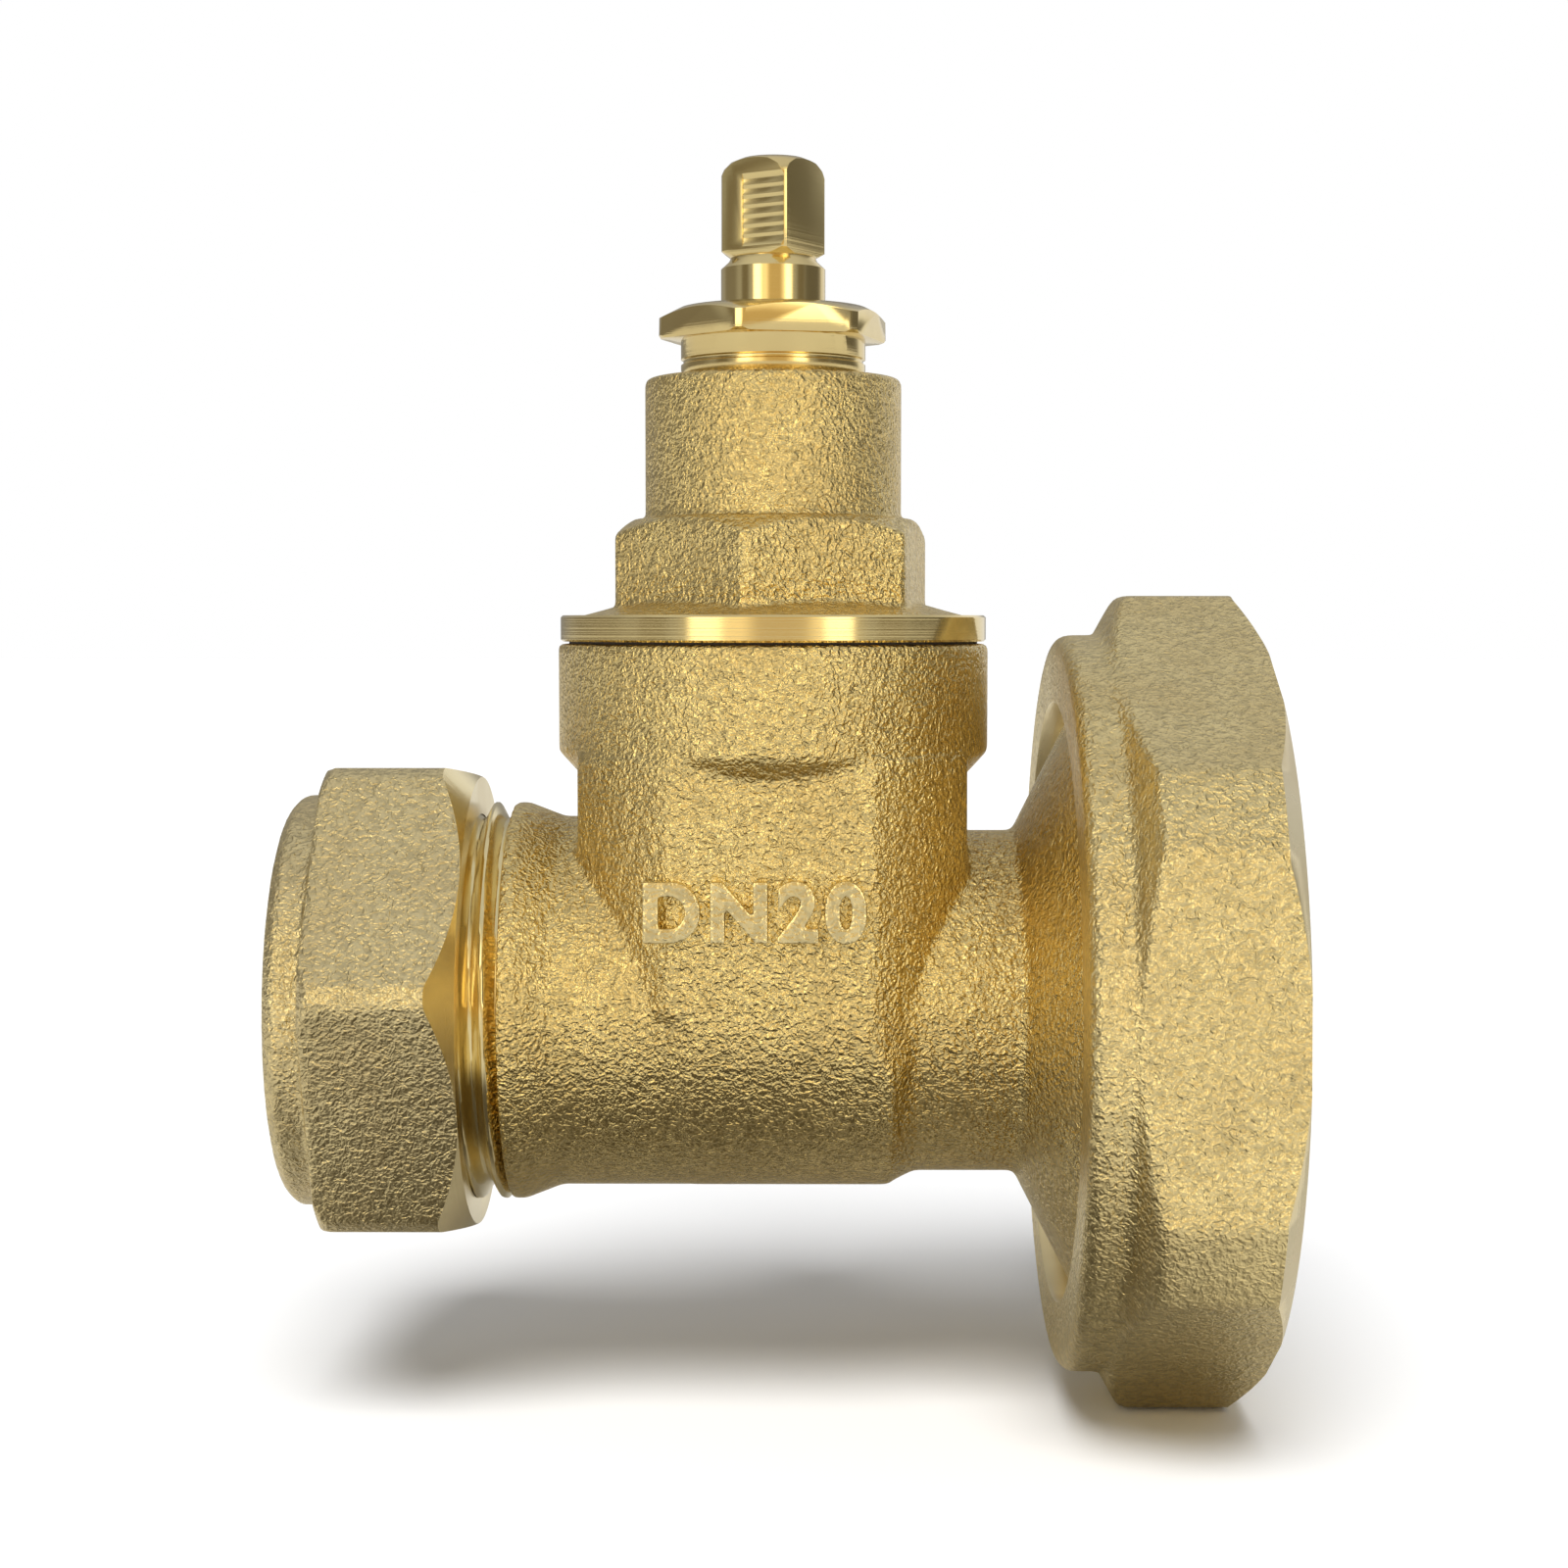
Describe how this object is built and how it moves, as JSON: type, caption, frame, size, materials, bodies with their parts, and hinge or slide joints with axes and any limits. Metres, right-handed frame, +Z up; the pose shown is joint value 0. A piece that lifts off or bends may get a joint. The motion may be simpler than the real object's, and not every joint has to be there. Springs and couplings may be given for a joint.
{
  "type": "pump isolating gate valve",
  "caption": "Brass gate valve for a circulating pump, with a compression pipe end, a captive union nut and a bare square stem for a key.",
  "frame": {"origin": "centre of the washer's sealing face, where the pump's spigot meets it, on the pipe axis", "axes": "+X along the pipe axis, out of the valve into the pump; +Z up along the stem"},
  "size_m": [0.068, 0.0538, 0.0888],
  "materials": {
    "cast_brass": "shot-blasted pale yellow brass casting",
    "forged_brass": "shot-blasted pale yellow brass forging with a polished flange edge",
    "nut_brass": "shot-blasted brass with a turned chamfer",
    "union_brass": "shot-blasted brass with a turned, matt chamfer",
    "turned_brass": "bright turned brass",
    "gate_brass": "machined brass, satin",
    "olive_brass": "soft bright brass",
    "fibre": "dark compressed fibre",
    "ptfe": "white waxy plastic",
    "black_rubber": "matt black rubber"
  },
  "bodies": {
    "casing": {"valve_body": "cast_brass", "bonnet": "forged_brass", "bonnet_gasket": "fibre", "thrust_washer_lower": "ptfe", "thrust_washer_upper": "ptfe", "packing_ring_lower": "ptfe", "packing_ring_upper": "ptfe", "pump_washer": "black_rubber"},
    "stem": {"stem": "turned_brass"},
    "gate": {"gate_wedge": "gate_brass"},
    "follower": {"gland_follower": "turned_brass"},
    "gland": {"gland_nut": "turned_brass"},
    "olive": {"olive": "olive_brass"},
    "pipe_nut": {"compression_nut": "nut_brass"},
    "union": {"union_nut": "union_brass"}
  },
  "joints": [
    {"name": "gate_lift", "type": "slide", "parent": "casing", "child": "gate", "axis": [0, 0, 1], "range_m": [0, 0.01625]},
    {"name": "stem_turn", "type": "hinge", "parent": "casing", "child": "stem", "pos_m": [-0.0283, 0, 0.045], "axis": [0, 0, 1], "range_deg": [0, 2341]},
    {"name": "follower_lift", "type": "slide", "parent": "casing", "child": "follower", "axis": [0, 0, 1], "range_m": [0, 0.002]},
    {"name": "gland_turn", "type": "hinge", "parent": "follower", "child": "gland", "pos_m": [-0.0283, 0, 0.045], "axis": [0, 0, 1], "range_deg": [0, 721]},
    {"name": "olive_slide", "type": "slide", "parent": "casing", "child": "olive", "axis": [-1, 0, 0], "range_m": [-0.0006, 0.0045]},
    {"name": "pipe_nut_turn", "type": "hinge", "parent": "olive", "child": "pipe_nut", "pos_m": [-0.055, 0, 0], "axis": [-1, 0, 0], "range_deg": [-121, 901]},
    {"name": "union_nut_turn", "type": "hinge", "parent": "casing", "child": "union", "pos_m": [0, 0, 0], "axis": [1, 0, 0], "continuous": true}
  ],
  "couplings": [
    {"joint": "stem_turn", "follows": "gate_lift", "rad_per_m": 2513.3},
    {"joint": "gland_turn", "follows": "follower_lift", "rad_per_m": 6283.2},
    {"joint": "pipe_nut_turn", "follows": "olive_slide", "rad_per_m": 3490.7}
  ]
}
